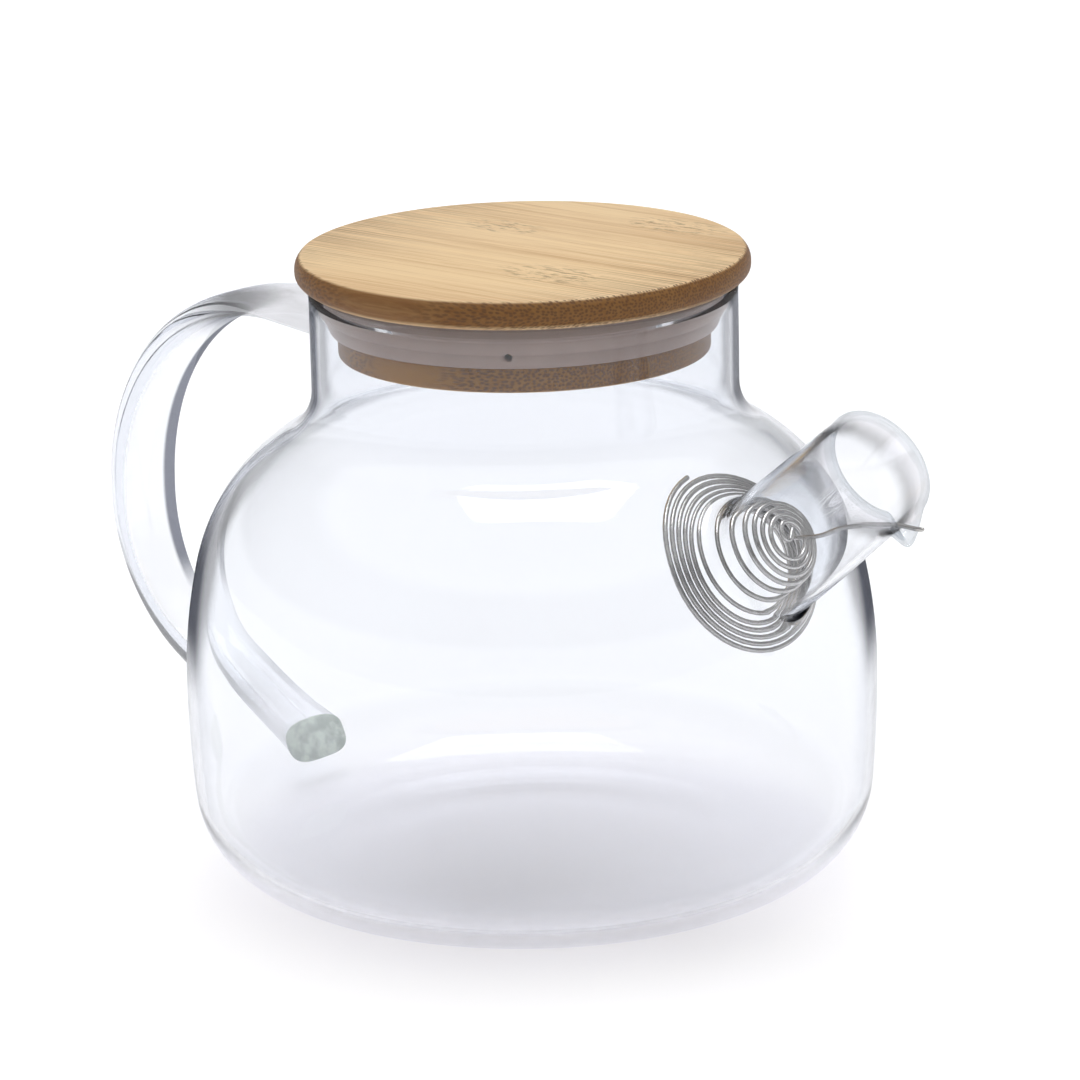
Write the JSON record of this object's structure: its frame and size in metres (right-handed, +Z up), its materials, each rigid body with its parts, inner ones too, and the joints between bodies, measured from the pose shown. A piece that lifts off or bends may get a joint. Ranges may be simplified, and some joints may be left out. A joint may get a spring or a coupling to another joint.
{
  "type": "glass teapot",
  "caption": "Clear glass teapot with a round body, short angled spout with a wire coil strainer, curved strap handle, and a bamboo lid with a silicone seal.",
  "frame": {"origin": "centre of the flat base, on the surface that the teapot stands on", "axes": "+Z up along the body's axis, +X towards the spout, -X towards the handle"},
  "size_m": [0.2237, 0.14, 0.1282],
  "materials": {
    "glass": "clear borosilicate glass, fire polished",
    "bamboo": "laminated bamboo, sanded, satin oil",
    "silicone": "soft translucent grey silicone, satin",
    "steel": "bright drawn stainless wire"
  },
  "bodies": {
    "pot": {"glass_body": "glass", "glass_spout": "glass", "glass_handle": "glass"},
    "seal": {"lid_seal": "silicone"},
    "lid": {"lid_disc": "bamboo", "lid_plug": "bamboo"},
    "strainer": {"strainer_coil": "steel"},
    "leg": {"strainer_leg": "steel"}
  },
  "joints": [
    {"name": "lid_lift", "type": "slide", "parent": "pot", "child": "seal", "axis": [0, 0, 1], "range_m": [0, 0.08]},
    {"name": "lid_turn", "type": "hinge", "parent": "seal", "child": "lid", "pos_m": [0, 0, 0.12], "axis": [0, 0, 1], "continuous": true},
    {"name": "strainer_draw", "type": "slide", "parent": "pot", "child": "strainer", "axis": [-0.7716, 0, -0.6361], "range_m": [0, 0.05]},
    {"name": "leg_flex", "type": "hinge", "parent": "strainer", "child": "leg", "pos_m": [0.07099, 0, 0.08194], "axis": [0, -1, 0], "range_deg": [0, 60]}
  ],
  "couplings": [
    {"joint": "leg_flex", "follows": "strainer_draw", "rad_per_m": 20}
  ]
}
